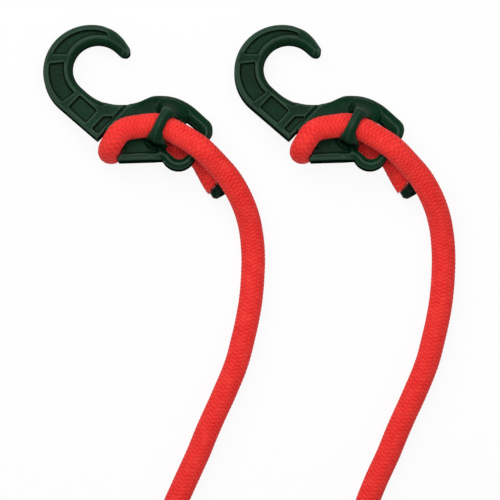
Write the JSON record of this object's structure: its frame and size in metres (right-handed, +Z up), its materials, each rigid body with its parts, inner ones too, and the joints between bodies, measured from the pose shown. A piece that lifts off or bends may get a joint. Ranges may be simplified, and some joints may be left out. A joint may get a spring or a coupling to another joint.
{
  "type": "multi-arm bungee strap",
  "caption": "Elastic tie-down strap of braided cords that cross in a round moulded hub and end in ribbed plastic hooks with the cord hitched round a notched eye",
  "frame": {"origin": "middle of the hub's flat underside, which lies on the table", "axes": "+Z up out of the table; +Y from the hub towards the pair of hooks that the picture shows; +X to the right seen from above"},
  "size_m": [0.17, 0.3744, 0.0248],
  "materials": {
    "hook_plastic": "semi-matte, dark green, lightly textured",
    "braid": "tightly braided bright red yarn",
    "rubber_core": "natural latex strands, matte",
    "steel": "plated steel"
  },
  "bodies": {
    "hub_and_cords": {"hub_lower_shell": "hook_plastic", "hub_upper_shell": "hook_plastic", "hub_screw_1": "steel", "hub_screw_2": "steel", "hub_screw_3": "steel", "hub_screw_4": "steel", "hub_cord_sheath_1": "braid", "hub_cord_core_1": "rubber_core", "hub_cord_sheath_2": "braid", "hub_cord_core_2": "rubber_core", "arm_sheath_1": "braid", "arm_core_1": "rubber_core", "arm_sheath_2": "braid", "arm_core_2": "rubber_core", "arm_sheath_3": "braid", "arm_core_3": "rubber_core", "arm_sheath_4": "braid", "arm_core_4": "rubber_core"},
    "hook_end_1": {"hook_1": "hook_plastic", "hitch_sheath_1": "braid", "hitch_core_1": "rubber_core", "end_plug_1": "hook_plastic"},
    "hook_end_2": {"hook_2": "hook_plastic", "hitch_sheath_2": "braid", "hitch_core_2": "rubber_core", "end_plug_2": "hook_plastic"},
    "hook_end_3": {"hook_3": "hook_plastic", "hitch_sheath_3": "braid", "hitch_core_3": "rubber_core", "end_plug_3": "hook_plastic"},
    "hook_end_4": {"hook_4": "hook_plastic", "hitch_sheath_4": "braid", "hitch_core_4": "rubber_core", "end_plug_4": "hook_plastic"}
  },
  "joints": [
    {"name": "arm_1_flex", "type": "hinge", "parent": "hub_and_cords", "child": "hook_end_1", "pos_m": [0, 0.163, 0.0045], "axis": [0, 0, 1], "range_deg": [0, 25], "deforming": ["arm_sheath_1", "arm_core_1"]},
    {"name": "arm_2_flex", "type": "hinge", "parent": "hub_and_cords", "child": "hook_end_2", "pos_m": [0.0716, 0.163, 0.0045], "axis": [0, 0, 1], "range_deg": [-25, 0], "deforming": ["arm_sheath_2", "arm_core_2"]},
    {"name": "arm_3_flex", "type": "hinge", "parent": "hub_and_cords", "child": "hook_end_3", "pos_m": [0.048, -0.103, 0.0045], "axis": [0, 0, 1], "range_deg": [-15, 0], "deforming": ["arm_sheath_3", "arm_core_3"]},
    {"name": "arm_4_flex", "type": "hinge", "parent": "hub_and_cords", "child": "hook_end_4", "pos_m": [-0.0432, -0.103, 0.0045], "axis": [0, 0, 1], "range_deg": [0, 15], "deforming": ["arm_sheath_4", "arm_core_4"]}
  ]
}
